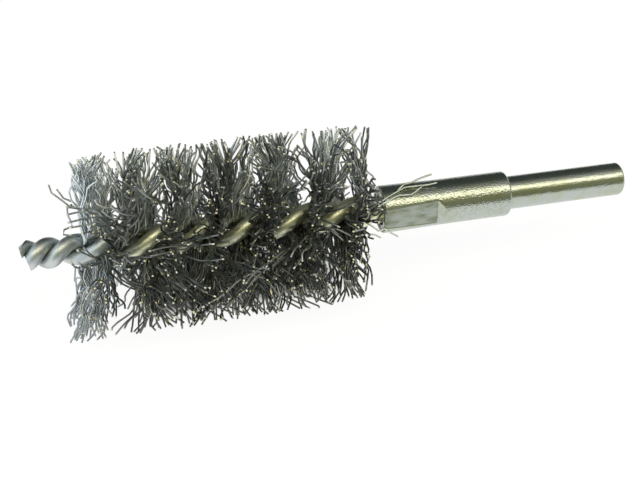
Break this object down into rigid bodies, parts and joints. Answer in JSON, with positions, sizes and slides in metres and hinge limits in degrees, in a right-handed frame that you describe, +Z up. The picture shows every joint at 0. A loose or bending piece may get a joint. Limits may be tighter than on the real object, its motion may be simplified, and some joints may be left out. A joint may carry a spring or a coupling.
{
  "type": "tube brush",
  "caption": "Twisted-wire tube brush: crimped steel fill wires gripped in a stem of twisted wire, with a stepped round drive shank for a collet or drill chuck.",
  "frame": {"origin": "on the brush's axis, in the plane of the shoulder where the round shank leaves the sleeve", "axes": "+X along the axis towards the free end of the shank, +Z up, with the sleeve's two crimp flats facing +Y and -Y to within 6 degrees"},
  "size_m": [0.1072, 0.0313, 0.0313],
  "materials": {
    "plated_shank": "bright zinc plating with a faint yellow-green tint, lightly pitted on the sleeve and duller in the pressed flats",
    "galvanised_wire": "satin galvanised wire, lightly drawn along its length",
    "fill_wire": "crimped dark steel wire with bright glints at the crimps"
  },
  "bodies": {
    "root": {"drive_shank": "plated_shank", "stem_wire_1": "galvanised_wire", "stem_wire_2": "galvanised_wire", "fill_wires_01": "fill_wire", "fill_wires_02": "fill_wire", "fill_wires_03": "fill_wire", "fill_wires_04": "fill_wire", "fill_wires_05": "fill_wire", "fill_wires_06": "fill_wire", "fill_wires_07": "fill_wire", "fill_wires_08": "fill_wire", "fill_wires_09": "fill_wire", "fill_wires_10": "fill_wire", "fill_wires_11": "fill_wire", "fill_wires_12": "fill_wire", "fill_wires_13": "fill_wire", "fill_wires_14": "fill_wire", "fill_wires_15": "fill_wire", "fill_wires_16": "fill_wire", "fill_wires_17": "fill_wire", "fill_wires_18": "fill_wire", "fill_wires_19": "fill_wire", "fill_wires_20": "fill_wire", "fill_wires_21": "fill_wire", "fill_wires_22": "fill_wire", "fill_wires_23": "fill_wire", "fill_wires_24": "fill_wire"}
  },
  "joints": []
}
